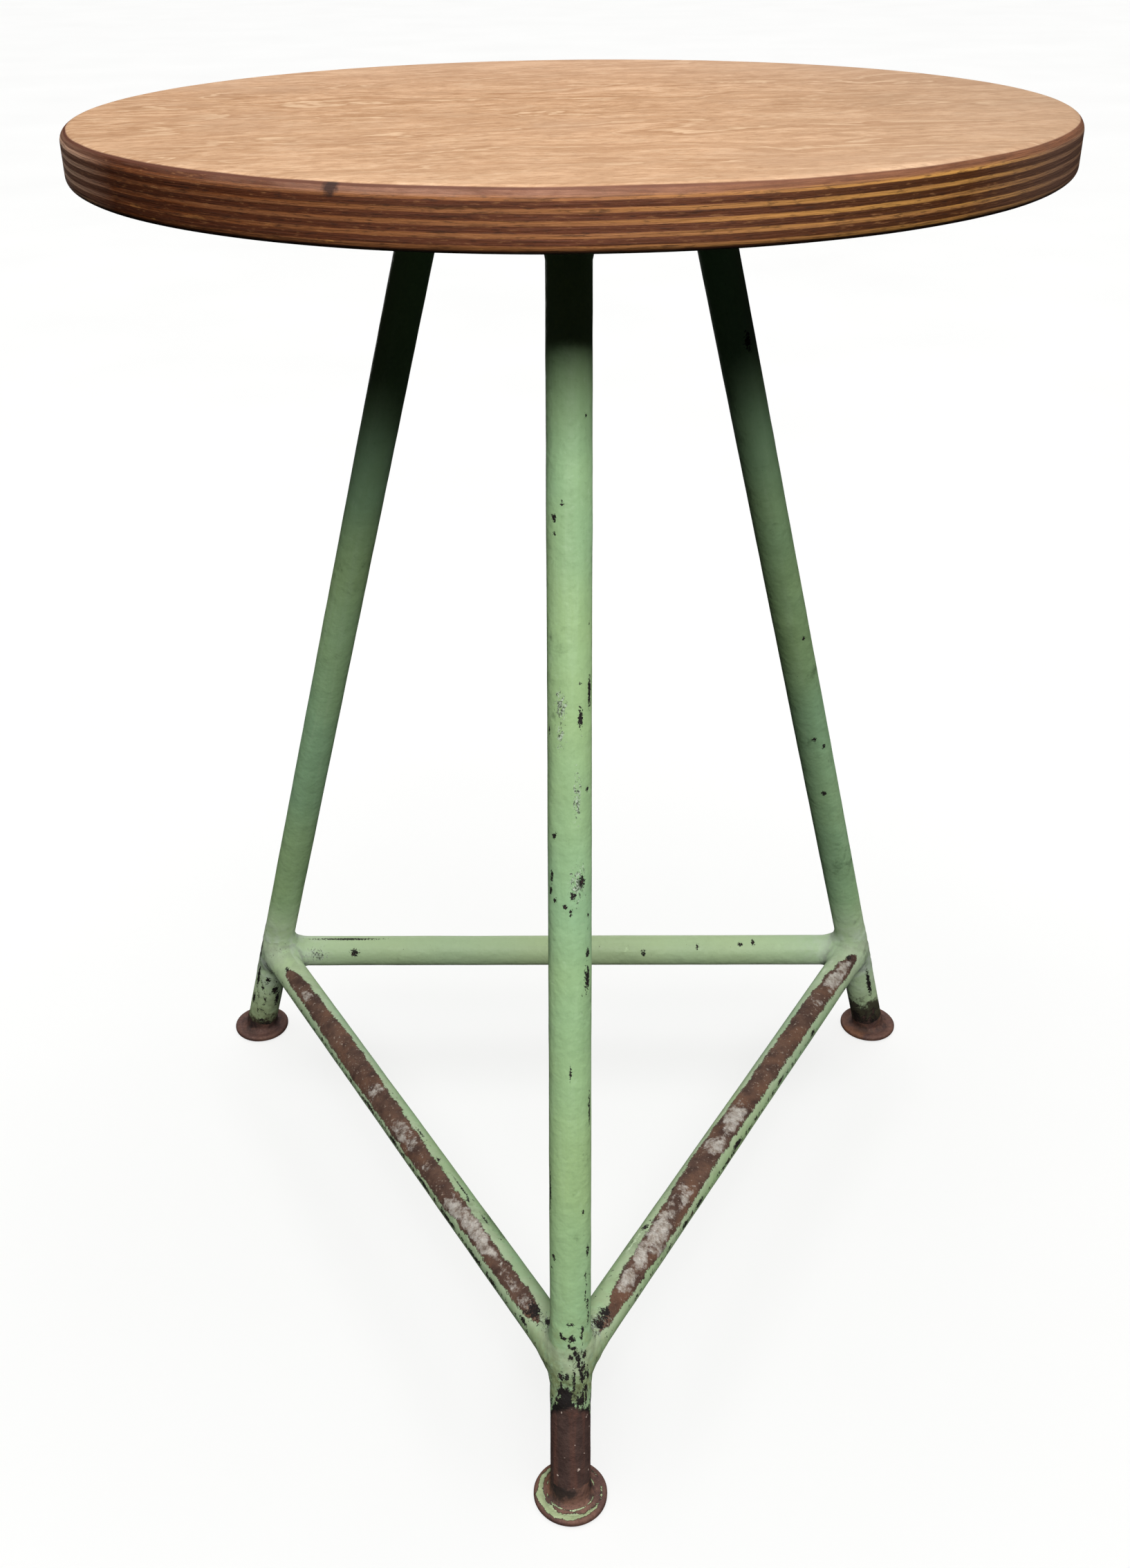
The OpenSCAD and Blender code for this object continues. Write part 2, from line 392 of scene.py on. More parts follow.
def turned(profile, centre, segments, closed=False):
    """Points and faces of a profile (r, z) turned about a vertical line. A closed profile is a
    ring; an open one starts and ends on the line."""
    angles = np.arange(segments) * 2 * math.pi / segments
    ring = profile if closed else profile[1:-1]
    r, z = ring[:, 0][:, None], ring[:, 1][:, None]
    grid = np.stack([r * np.cos(angles), r * np.sin(angles), z + 0 * angles], axis=-1)
    points = grid.reshape(-1, 3)
    if closed:
        faces = np.array(sheet_faces(len(ring) + 1, segments)) % len(points)
    else:
        faces = sheet_faces(len(ring), segments) + end_fans(len(ring), segments)
        points = np.vstack([points, [[0, 0, profile[0, 1]], [0, 0, profile[-1, 1]]]])
    return points + np.array([centre[0], centre[1], 0]), faces


def closed_sheet(grid):
    """Points and faces of a grid of closed rows, with a point in the middle of each end."""
    size = grid.shape[:2]
    points = np.vstack([grid.reshape(-1, 3), grid[0].mean(0), grid[-1].mean(0)])
    return points, sheet_faces(*size) + end_fans(*size)


ROD_COLUMNS = 56


def rod_grid(rod, first, last, step, level):
    """Rings along a rod. On a leg each ring lies level, so that the ends meet floor and plate."""
    count = int(round((last - first) / step)) + 1
    along = np.linspace(first, last, count)[:, None]
    angle = np.arange(ROD_COLUMNS) * 2 * math.pi / ROD_COLUMNS
    face = rod.face
    if level:
        flat = np.array([rod.face[0], rod.face[1], 0.0])
        face = flat / (flat @ flat)
    out = np.cos(angle)[:, None] * face + np.sin(angle)[:, None] * rod.side
    centre = rod.start + along[:, :, None] * rod.axis
    grid = centre + ROD_R * out[None]
    flat = grid.reshape(-1, 3)
    normal = np.broadcast_to(out[None], grid.shape).reshape(-1, 3)
    dents = 0.05 * lumps(flat, 60 * MM, 5) + 0.035 * lumps(flat, 13 * MM, 6) - 0.03
    dents += -0.1 * np.clip(2 * wear_fields(flat)["strip"], 0, 1)
    return (flat + normal * (dents * MM)[:, None]).reshape(grid.shape)


def smooth_min(a, b, k):
    h = np.maximum(k - np.abs(a - b), 0) / k
    return np.minimum(a, b) - h * h * k / 4


def surface_nets(field, origin, step):
    """Points and quads of a sampled field's zero surface, with one point in each crossed cell."""
    cells = np.zeros(tuple(n - 1 for n in field.shape) + (3,))
    hits = np.zeros(cells.shape[:3], int)
    quads = []
    for axis in range(3):
        u, v = (axis + 1) % 3, (axis + 2) % 3
        low = np.take(field, range(field.shape[axis] - 1), axis)
        high = np.take(field, range(1, field.shape[axis]), axis)
        edges = np.argwhere((low < 0) != (high < 0))
        a, b = low[tuple(edges.T)], high[tuple(edges.T)]
        crossing = edges.astype(float)
        crossing[:, axis] += a / (a - b)
        corners = []
        for du, dv in ((1, 1), (0, 1), (0, 0), (1, 0)):
            cell = edges.copy()
            cell[:, u] -= du
            cell[:, v] -= dv
            np.add.at(cells, tuple(cell.T), crossing)
            np.add.at(hits, tuple(cell.T), 1)
            corners.append(cell)
        quad = np.stack(corners, 1)
        quads.append(np.where((a < 0)[:, None, None], quad, quad[:, ::-1]))
    used = hits > 0
    index = np.full(hits.shape, -1)
    index[used] = np.arange(used.sum())
    points = origin + step * cells[used] / hits[used][:, None]
    quads = np.concatenate(quads)
    return points, index[tuple(np.moveaxis(quads, -1, 0))]


def weld_mesh(field, centre, reach, step):
    """The zero surface of a distance field near a point, settled onto the field itself."""
    count = int(math.ceil(2 * reach / step)) + 3
    origin = np.array(centre) - step * (count - 1) / 2
    ticks = np.arange(count) * step
    samples = np.stack(np.meshgrid(ticks, ticks, ticks, indexing="ij"), -1) + origin
    values = field(samples.reshape(-1, 3)).reshape((count,) * 3)
    points, faces = surface_nets(values, origin, step)
    small = 0.05 * MM
    for _ in range(3):
        value = field(points)
        slope = np.stack([(field(points + small * e) - value) / small for e in np.eye(3)], -1)
        points = points - slope * (value / np.maximum((slope ** 2).sum(1), 0.2))[:, None]
    return points, faces


# The welds' surfaces, in mm. Ripples: height, length and seed. Fade: the ripples' strength at the
# centre, and the distance that takes 1 off it. Skin: how far the weld stands proud at its centre
# and further out, and where that changes. Then the radius that smooths its corners, the distance
# where it ends, and the reach and step of the grid that samples it.
WELDS = {
    "footrest": (((0.13, 8, 21), (0.09, 3.6, 22)), (1.3, 26), (0.16, -0.7, 15, 31), 7.5, 30, 31, 0.75),
    "foot": (((0.2, 5, 31), (0.14, 2.4, 32)), (1.6, 8), (0.16, -0.5, 9, 12.5), 2.6, 12.5, 13, 0.5),
    "top": (((0.28, 6, 41), (0.2, 3, 42)), (1.5, 13), (0.3, -0.8, 12, 17), 7, 17, 17.5, 0.7),
}


def weld(kind, name, z, others, limit=None):
    """Points and faces of a weld round a leg at height z, where it meets the fields `others`."""
    ripples, (strength, fade), skin, smooth, cut, reach, step = WELDS[kind]
    near, outer, start, end = (v * MM for v in skin)
    centre = leg_point(name, z)
    leg = RODS[f"leg_{name}"]

    def field(points):
        whole = leg.locate(points)[2] - ROD_R
        for other in others:
            whole = smooth_min(whole, other(points), smooth * MM)
        far = np.linalg.norm(points - centre, axis=1)
        height = sum(h * lumps(points, size * MM, seed) for h, size, seed in ripples)
        height = height * np.clip(strength - far / (fade * MM), 0, 1)
        t = ((far - start) / (end - start)).clip(0, 1)
        whole = whole - (near + (outer - near) * t * t * (3 - 2 * t))
        whole = np.maximum(whole - height * MM, far - cut * MM)
        return np.maximum(whole, limit(points)) if limit else whole

    return weld_mesh(field, centre, reach * MM, step * MM)


def bar_field(name, other):
    """Distance from the bar that runs from one leg to another. It starts inside the weld."""
    corner = leg_point(name, BAR_Z)
    way = unit(leg_point(other, BAR_Z) - corner)

    def field(points):
        rel = points - corner
        along = np.maximum(rel @ way, 10 * MM)
        return np.linalg.norm(rel - along[:, None] * way, axis=1) - ROD_R

    return field


# ---- materials


def srgb(tone):
    """A linear colour from six hex digits."""
    values = [int(tone[i:i + 2], 16) / 255 for i in (0, 2, 4)]
    linear = [c / 12.92 if c <= 0.04 else ((c + 0.055) / 1.055) ** 2.4 for c in values]
    return (*linear, 1.0)


class Graph:
    """Short calls for building a material's nodes. A tone is six hex digits, or the output of
    another node."""

    def __init__(self, name):
        self.material = bpy.data.materials.new(name)
        self.material.use_nodes = True
        self.tree = self.material.node_tree
        self.tree.nodes.clear()
        output = self.put("OutputMaterial")
        self.shader = self.put("BsdfPrincipled")
        self.tree.links.new(self.shader.outputs[0], output.inputs["Surface"])
        self.place = self.put("TexCoord").outputs["Object"]

    def feed(self, socket, value):
        """Link another node's output to a socket, or set the socket to a constant."""
        if isinstance(value, bpy.types.NodeSocket):
            self.tree.links.new(value, socket)
        else:
            socket.default_value = value

    def put(self, kind, sockets=None, **settings):
        node = self.tree.nodes.new("ShaderNode" + kind)
        for key, value in settings.items():
            setattr(node, key, value)
        for key, value in (sockets or {}).items():
            self.feed(node.inputs[key], value)
        return node

    def calc(self, operation, a, b=0.0, c=0.0):
        return self.put("Math", {0: a, 1: b, 2: c}, operation=operation).outputs[0]

    def plus(self, base, value, factor=None):
        """base + value, or base + value * factor."""
        if factor is None:
            return self.calc("ADD", base, value)
        return self.calc("MULTIPLY_ADD", value, factor, base)

    def minus(self, a, b):
        return self.calc("SUBTRACT", a, b)

    def times(self, product, *factors):
        for factor in factors:
            product = self.calc("MULTIPLY", product, factor)
        return product

    def most(self, a, b):
        return self.calc("MAXIMUM", a, b)

    def axes(self, vector):
        return self.put("SeparateXYZ", {0: vector}).outputs

    def stretch(self, factors, vector=None, turn=0.0):
        sockets = {"Vector": vector or self.place, "Scale": factors}
        sockets["Rotation"] = (0, 0, math.radians(turn))
        return self.put("Mapping", sockets).outputs[0]

    def noise(self, scale, detail=3.0, rough=0.5, twist=0.0, vector=None):
        sockets = {"Vector": vector or self.place, "Scale": scale, "Detail": detail}
        sockets.update({"Roughness": rough, "Distortion": twist})
        return self.put("TexNoise", sockets).outputs[0]

    def streaks(self, factors, detail=3.0, rough=0.5, twist=0.0, vector=None):
        """Noise that is longer along the axes with the smaller factors."""
        return self.noise(1.0, detail, rough, twist, self.stretch(factors, vector))

    def band(self, value, low, high, start=0.0, end=1.0):
        """start below low, end above high, and a straight ramp between."""
        sockets = {"Value": value, "From Min": low, "From Max": high, "To Min": start, "To Max": end}
        return self.put("MapRange", sockets).outputs[0]

    def over(self, colour, *layers):
        """A tone with layers over it. Each layer ends with the tone that it brings in. Before it
        comes its factor, or a field with the low, high and end (or 1) of a band from 0."""
        for factor, *ramp, tone in layers:
            if ramp:
                low, high, *end = ramp
                factor = self.band(factor, low, high, 0.0, *end)
            below, above = (srgb(t) if isinstance(t, str) else t for t in (colour, tone))
            colour = self.put("Mix", {0: factor, 6: below, 7: above}, data_type="RGBA").outputs[2]
        return colour

    def attribute(self, name, output="Fac"):
        return self.put("Attribute", attribute_name=name).outputs[output]

    def bump(self, height, distance, normal=None):
        sockets = {"Height": height, "Distance": distance, "Strength": 1.0}
        if normal is not None:
            sockets["Normal"] = normal
        return self.put("Bump", sockets).outputs[0]

    def finish(self, **sockets):
        for key, value in sockets.items():
            self.feed(self.shader.inputs[key.replace("_", " ")], value)
        return self.material


def painted_colour(g, streaks, blotches, speckle, grime):
    """The paint where nothing has come off: its tones, its dirt, and painted shade and light."""
    x, y, height = g.axes(g.place)
    from_middle = g.calc("ABSOLUTE", x)

    # Painted shade on the rear legs above the footrest, deeper on their inner sides, and a darker patch
    # on the right one.
    behind = g.times(g.band(height, 0.085, 0.12), g.band(y, -0.02, 0.03))
    apart = g.plus(from_middle, height, REAR_X * SLOPE)
    inner = g.band(g.minus(apart, REAR_X * (CORNER_R + BAR_Z * SLOPE)), 3 * MM, -6 * MM, 0, 0.5)
    inner = g.times(inner, behind, g.band(x, -0.05, 0.05, 0.35), g.band(height, 0.12, 0.21, 0.4))
    dark_patch = g.band(g.calc("ABSOLUTE", g.minus(height, DARK_PATCH_Z)), 0.085, 0.02, 0, 0.42)
    dark_patch = g.times(dark_patch, behind, g.band(x, 0.0, 0.05), g.band(blotches, 0.36, 0.6, 0.5))
    # Painted shade at the top of the front leg, below the seat's shadow.
    front = g.times(g.band(height, 0.34, 0.28, 0, 0.26), g.band(y, -0.05, -0.08))
    # Painted light: the rear bar paler.
    rear_bar_light = g.times(g.band(height, 0.1, 0.078), g.band(y, 0.03, 0.07), 0.5)

    # Fresher paint on the welds, dirt round them, and painted shade in their creases.
    joint = g.attribute("joint")
    fresh = g.times(joint, g.band(g.noise(130), 0.35, 0.65, 0.2, 0.9))
    soiled = g.times(g.band(joint, 0.3, 0.66), g.band(grime, 0.5, 0.6), 0.8)
    crease_shade = g.times(g.band(joint, 0.5, 0.68), g.band(speckle, 0.4, 0.58, 0.25), 0.7)
    haze = g.times(g.band(g.noise(26), 0.5, 0.68), g.band(grime, 0.42, 0.62, 0, 0.08))

    # Rubbed paint at the corners of the footrest: whitish behind, olive in front.
    corner = g.times(g.attribute("corner"), g.band(grime, 0.42, 0.58, 0.15))
    whitish = g.times(corner, g.band(y, 0.0, 0.05, 0, 0.95))
    olive = g.times(g.band(corner, 0.0, 0.6), g.band(y, -0.1, -0.14, 0, 0.75))
    olive = g.times(olive, g.band(from_middle, 0.003, 0.009, 0.35))

    # Dirt low on the legs, and a stain at the floor that reaches higher on the right.
    low_dirt = g.times(g.band(height, 0.034, 0.008, 0, 0.8), g.band(grime, 0.34, 0.56, 0.3))
    stain = g.plus(g.minus(g.band(x, 0.0, 0.1, 0, 0.013), height), grime, 0.036)
    return g.over(
        "98be93",
        (g.noise(11, 3, 0.5), 0.36, 0.64, "a4c188"),
        (streaks, 0.48, 0.7, 0.26, "88a876"),
        (streaks, 0.46, 0.3, 0.34, "b4d0a4"),
        (blotches, 0.54, 0.72, 0.15, "86a872"),
        (speckle, 0.55, 0.74, 0.3, "708c62"),
        (speckle, 0.42, 0.26, 0.35, "b8d2ac"),
        # painted shade on the rear legs and their inner sides
        (g.times(behind, 0.31), "5c7654"),
        (inner, "4a5e3e"),
        (dark_patch, "4a603a"),
        # painted shade at the top of the front leg
        (front, "7a966c"),
        # painted light on the rear bar
        (rear_bar_light, "c4d2aa"),
        (fresh, "acc6a4"),
        (soiled, "5c623e"),
        # painted shade in the creases of the welds
        (crease_shade, "42482e"),
        (haze, "708054"),
        (whitish, "cad8c6"),
        (olive, "92a06e"),
        (low_dirt, "64623a"),
        (stain, 0.004, 0.0095, 0.9, "2e211a"),
    )


def strip_metal(g, strip_field, ragged, torn, fine):
    """The metal of the worn strips, and where it is bright: rust with silvery patches."""
    patchy = g.plus(g.times(g.noise(250, 6, 0.74), 0.42), g.noise(52, 4, 0.6, 0.6), 0.58)
    patchy = g.plus(patchy, g.attribute("shine"))
    centred = g.band(g.plus(strip_field, ragged, 0.3), 0.2, 0.38, -0.06, 0.04)
    silver = g.band(g.plus(patchy, centred), 0.525, 0.6, 0, 0.95)
    bright = g.over("d2ccc3", (torn, 0.42, 0.6, "9e9082"))
    return silver, g.over(
        "46322a",
        (g.noise(120, 4, 0.6), 0.36, 0.64, "684e40"),
        (g.noise(60, 4), 0.5, 0.64, 0.45, "74503a"),
        (fine, 0.56, 0.68, 0.6, "30221d"),
        (silver, bright),
        (g.noise(620, 4, 0.65), 0.6, 0.66, 0.6, "ac9c8c"),
        (g.times(g.band(torn, 0.58, 0.66, 0, 0.7), silver), "5c4a42"),
    )


def paint_material():
    """Pale green paint, with dirt, painted shade and light, chips, worn strips and a bare, rusty end.
    """
    g = Graph("worn_paint")
    streaks = g.noise(240, 4, 0.6, vector=g.attribute("flow", "Vector"))
    blotches = g.noise(55, 4, 0.6, 0.4)
    speckle = g.noise(380, 5, 0.72)
    grime = g.noise(190, 5, 0.65)
    fine = g.noise(1100, 5, 0.72)
    ragged = g.noise(210, 5, 0.7)
    torn = g.streaks((330, 330, 200), 6, 0.78)
    strip_field = g.attribute("strip")
    end = g.attribute("bare")

    on_bar = g.band(strip_field, -0.98, -0.9)
    beside = g.times(g.band(strip_field, -0.6, -0.02), g.band(blotches, 0.35, 0.6, 0.25, 0.8))

    # Where the paint is off: about 0 and more in each of these fields.
    chip = g.plus(g.attribute("spots"), g.plus(-1.85, fine, 3.2))
    crowd = g.plus(g.plus(torn, g.attribute("crowd"), 0.25), fine, 0.24)
    chip = g.most(chip, g.times(g.minus(crowd, 0.84), 14.0))
    wander = g.minus(g.plus(-0.28, g.noise(170, 6, 0.72), 0.56), 0.2)
    strip = g.plus(strip_field, g.plus(wander, fine, 0.4))
    bare = g.plus(g.minus(end, 0.35), ragged, 0.7)
    scratched = g.plus(g.plus(-3.9, g.streaks((900, 900, 420), 5, 0.8), 7.0), g.attribute("scuffs"))

    # Black flakes above the bare end.
    black = g.plus(g.minus(end, 3.5), g.streaks((260, 260, 120), 4, 0.66), 7.0)
    black = g.band(g.plus(g.minus(black, 1.3), fine, 2.6), -0.72, -0.5)

    shadow = "1a1513"
    silver, metal = strip_metal(g, strip_field, ragged, torn, fine)
    scratch_tone = g.over("34382e", (fine, 0.47, 0.55, "bac8b4"))
    hole = g.over(shadow, (ragged, 0.45, 0.6, "543e36"))
    dark_metal = g.over(
        "382824",
        (grime, 0.3, 0.7, "543f38"),
        (streaks, 0.5, 0.66, 0.6, "684438"),
        (g.noise(420, 2, 0.4), 0.71, 0.73, "beaca0"),
    )
    colour = g.over(
        painted_colour(g, streaks, blotches, speckle, grime),
        (g.times(on_bar, g.band(grime, 0.4, 0.6, 0.15, 0.6)), "92a47c"),
        (beside, "b2c0a0"),
        (strip, -0.035, 0.0, shadow),
        (strip, -0.02, 0.03, metal),
        (scratched, -0.1, 0.15, 0.85, scratch_tone),
        (black, shadow),
        (bare, -0.12, 0.1, dark_metal),
        (chip, -0.1, 0.03, shadow),
        (chip, 0.55, 0.8, hole),
    )

    worn = g.most(g.band(strip, -0.03, 0.03), g.band(chip, -0.08, 0.06))
    worn = g.most(worn, g.most(g.band(bare, 0, 0.1), black))
    rough = g.band(g.noise(300), 0.35, 0.65, 0.5, 0.64)
    rough = g.plus(rough, worn, g.minus(0.78, rough))
    rough = g.plus(rough, silver, -0.3)
    normal = g.bump(g.plus(g.noise(95), g.noise(420, 2), 0.25), 0.001)
    normal = g.bump(g.times(worn, g.noise(700, 4, 0.65)), 0.0005, normal)
    normal = g.bump(worn, -0.00022, normal)
    return g.finish(Base_Color=colour, Metallic=g.times(silver, 0.35), Roughness=rough, Normal=normal,
                    Specular_IOR_Level=0.35, Diffuse_Roughness=0.3)


def rusty_material():
    """Bare, rusty steel, with rings of old paint where the ring field is above zero."""
    g = Graph("bare_rust")
    pits = g.noise(700, 4, 0.65)
    ring = g.plus(g.attribute("ring"), g.plus(-1.2, g.noise(260, 5, 0.7), 2.4))
    paint = g.over("809066", (g.noise(300), "b4c096"))
    stain = g.times(g.band(g.noise(140, 4, 0.6), 0.44, 0.6, 0, 0.88), g.attribute("near_leg"))
    colour = g.over(
        "4e362e",
        (g.noise(95, 4, 0.6), 0.35, 0.62, "765442"),
        (g.noise(60, 3, 0.55), 0.52, 0.66, "885a38"),
        (pits, 0.54, 0.72, 0.75, "2e201e"),
        (pits, 0.44, 0.3, 0.5, "92705c"),
        (0.35, "60423e"),
        (ring, -0.12, 0.0, "241b18"),
        (ring, 0.0, 0.1, paint),
        (stain, "1c1512"),
    )
    covered = g.band(ring, -0.05, 0.05)
    normal = g.bump(g.noise(150), 0.0005, g.bump(pits, 0.0004))
    normal = g.bump(covered, 0.0002, normal)
    rough = g.plus(g.band(pits, 0.3, 0.7, 0.68, 0.86), covered, -0.25)
    return g.finish(Base_Color=colour, Roughness=rough, Normal=normal)


def steel_material():
    """Plain steel with dried oil, for the screw under the seat."""
    g = Graph("oiled_steel")
    rust = g.band(g.noise(340, 5, 0.7), 0.6, 0.68)
    film = g.noise(120, 4, 0.6)
    colour = g.over("8c8982", (film, 0.38, 0.62, "5e5448"), (rust, "68422e"))
    rough = g.plus(g.band(g.streaks((90, 90, 1500)), 0.3, 0.7, 0.3, 0.5), rust, 0.35)
    normal = g.bump(g.noise(900), 0.00012)
    metallic = g.plus(0.95, rust, -0.8)
    return g.finish(Base_Color=colour, Metallic=metallic, Roughness=rough, Normal=normal)


def veneer_colour(g, x, y, grain, fibre):
    """The flat faces: growth rings, fibres and pores of one rotary-cut sheet, and its wear."""
    figure = g.streaks((5, 11, 6), 5, 0.5, 0.8, grain)
    wavy = g.streaks((20, 52, 30), 4, 0.55, 0.8, grain)
    rings = g.plus(g.plus(g.times(g.axes(grain)["Y"], 46), figure, 8.0), wavy, 2.4)
    ring = g.calc("PINGPONG", rings, 1.0)
    thin_rings = g.calc("PINGPONG", g.times(rings, 2.7), 1.0)
    mottle = g.streaks((210, 460, 100), 6, 0.78, 0.3, grain)
    patches = g.streaks((17, 34, 12), 4, 0.62, 0.8, grain)
    pores = g.streaks((330, 1500, 600), 2, vector=grain)
    crest = g.times(g.band(ring, 0.12, 0.05), g.band(patches, 0.38, 0.54, 0.15))
    return g.over(
        "c6a07e",
        (patches, 0.36, 0.66, "ae8765"),
        (mottle, 0.5, 0.7, 0.85, "825c3e"),
        (mottle, 0.48, 0.3, 0.75, "d0b294"),
        (thin_rings, 0.3, 0.0, 0.32, "dcbe9e"),
        (thin_rings, 0.6, 1.0, 0.38, "946a48"),
        (ring, 0.5, 0.14, 0.5, "966c4a"),
        (g.times(crest, 0.55), "e2c4a2"),
        (fibre, 0.44, 0.66, 0.46, "8a6446"),
        (pores, 0.63, 0.7, 0.4, "7a563c"),
        (g.noise(13, 4, 0.6), 0.52, 0.7, 0.4, "a8886e"),
        (x, 0.03, 0.17, 0.45, "96806c"),     # greyed on the right
        (y, 0.02, 0.16, 0.28, "ceac92"),     # paler at the back
        (y, 0.05, -0.17, 0.38, "967a60"),     # darker at the front
    )


def edge_colour(g, x, depth, thick, threads):
    """The round edge: plies in turn along and across it, stained, rubbed near the top, with painted
    light and shade.
    """
    ply = g.times(g.minus(depth, 1.2 * MM), PLIES / (thick - 0.2 * MM))
    wave = g.plus(g.calc("SINE", g.times(ply, math.pi)), g.minus(threads, 0.5), 1.3)
    light = g.band(g.plus(wave, g.band(x, 0.0, 0.09, 0, -0.15)), 0.0, 0.5)
    from_left = g.band(x, -0.13, 0.02)
    to_right = g.band(x, 0.0, 0.09)
    flecks = g.streaks((230, 230, 1500), 3, 0.6)
    long_streaks = g.streaks((16, 16, 700), 3, 0.55)
    breaks = g.streaks((70, 70, 260), 4, 0.65)
    ochre = g.times(g.band(breaks, 0.6, 0.64), g.band(depth, 6 * MM, 3 * MM), 0.8)

    rubbed = g.times(g.band(depth, thick - 3.0 * MM, thick - 2.6 * MM, 0, 0.8), from_left)
    rubbed = g.times(rubbed, g.band(breaks, 0.62, 0.42, 0.45))
    from_line = g.calc("ABSOLUTE", g.minus(depth, thick - 0.8 * MM))
    dark_line = g.times(g.band(from_line, 0.42 * MM, 0.22 * MM), g.band(x, 0.06, -0.06, 0.45, 0.95))
    rounded = g.band(depth, thick - 4.0 * MM, thick - 2.4 * MM)
    to_knot = g.put("VectorMath", {0: g.place, 1: KNOT}, operation="DISTANCE").outputs["Value"]
    knot = g.plus(to_knot, g.noise(700, 4, 0.6), 0.0022)

    pale_ply = g.over(
        "5c2b0c",
        (from_left, "98643a"),
        (to_right, "ac7c3e"),
        (long_streaks, 0.44, 0.64, 0.6, "805232"),
        (ochre, "b27c42"),
    )
    return g.over(
        g.over("421d08", (from_left, "5e321c"), (to_right, "44230a")),
        (light, pale_ply),
        (threads, 0.49, 0.68, 0.6, "341a0b"),
        (flecks, 0.54, 0.68, 0.6, "281409"),
        (flecks, 0.42, 0.28, 0.3, "a6764a"),
        (x, 0.11, 0.146, 0.84, g.over("5a4134", (light, "765a4a"))),
        # painted light at the left end of the edge
        (x, -0.136, -0.162, 0.8, g.over("7c5a48", (light, "cea88e"))),
        (rubbed, g.over("9e7661", (x, -0.04, 0.04, "764c34"))),
        (dark_line, "543022"),
        (g.times(g.band(threads, 0.5, 0.62, 0, 0.5), rounded), "543424"),
        # painted shade along the bottom of the edge, under its rounding
        (depth, 1.8 * MM, 0.4 * MM, 0.85, "1e110c"),
        (knot, 0.0042, 0.0028, 0.85, "221412"),
    )


def plywood_material():
    """Birch plywood: rotary-cut veneer on both faces, and plies across the edge."""
    g = Graph("birch_plywood")
    low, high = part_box("seat_board")
    thick = high.z - low.z
    x, y, z = g.axes(g.place)
    grain = g.stretch((1, 1, 1), turn=-9)
    fibre = g.streaks((130, 1500, 200), 3, 0.6, vector=grain)
    threads = g.streaks((50, 50, 1700), 4, 0.68)
    depth = g.plus(g.minus(g.minus(z, low.z), 0.00025), g.streaks((24, 24, 24), 2), 0.0005)

    rim = g.plus(depth, g.band(x, 0.03, 0.1, 0.62 * MM, 1.05 * MM))
    outer = g.most(g.band(rim, thick, thick + 0.25 * MM), g.band(depth, 0.3 * MM, 0.1 * MM))
    face = veneer_colour(g, x, y, grain, fibre)
    colour = g.over(edge_colour(g, x, depth, thick, threads), (outer, face))
    rough = g.plus(g.band(threads, 0.3, 0.7, 0.58, 0.76), outer, -0.08)
    normal = g.bump(g.times(fibre, outer), 0.0001)
    normal = g.bump(g.times(threads, g.minus(1.0, outer)), 0.00035, normal)
    return g.finish(Base_Color=colour, Roughness=rough, Normal=normal, Specular_IOR_Level=0.22)


def floor_material():
    g = Graph("studio_floor")
    tint = g.noise(3)
    colour = g.over("f3f3f2", (tint, "f8f8f7"))
    return g.finish(Base_Color=colour, Roughness=g.band(tint, 0.3, 0.7, 0.8, 0.9))


PLIES = 11
KNOT = (-0.0643, -0.1608, 0.4905)   # a small dark knot in the edge, near the front
DARK_PATCH_Z = 0.275                    # the middle of a darker patch on the right leg

PAINT = paint_material()
RUST = rusty_material()
STEEL = steel_material()
PLYWOOD = plywood_material()


# ---- pieces

def make_seat():
    low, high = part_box("seat_board")
    inset = 0.06 * MM
    radius = (high.x - low.x) / 2 - inset
    bottom, top = low.z + inset, high.z - inset
    inner = [(r * MM, bottom, 0) for r in (0, 20, 45, 75, 105, 135, 160)]
    corners = inner + [(radius, bottom, 3.0 * MM), (radius, top, 4.2 * MM)]
    corners += [(r, top, 0) for r, _, _ in reversed(inner)]
    points, faces = turned(fillet(corners, 9), (0, 0), 288)
    flat = np.hypot(points[:, 0], points[:, 1])
    uneven = 0.04 * MM * lumps(points, 60 * MM, 51)
    points[:, 2] += np.where(points[:, 2] > (bottom + top) / 2, -np.abs(uneven), np.abs(uneven))
    shrink = 1 - 0.1 * MM * lump_share(points, 40 * MM, 52) / radius
    points[:, :2] *= np.where(flat > 0.9 * radius, shrink, 1.0)[:, None]
    make_piece("seat_panel", points, faces, PLYWOOD, "seat_board")


def make_rods():
    spacing = 1.5 * MM
    for name in AZIMUTHS:
        rod = RODS[f"leg_{name}"]
        rise = rod.axis[2]
        grid = rod_grid(rod, FOOT_TOP / rise, PLATE_LOW / rise, spacing, True)
        make_piece(f"leg_tube_{name}", *closed_sheet(grid), PAINT, f"leg_{name}")
    for name in BAR_ENDS:
        rod = RODS[f"bar_{name}"]
        grid = rod_grid(rod, 6 * MM, rod.length - 6 * MM, spacing, False)
        make_piece(f"bar_tube_{name}", *closed_sheet(grid), PAINT, f"footrest_bar_{name}")


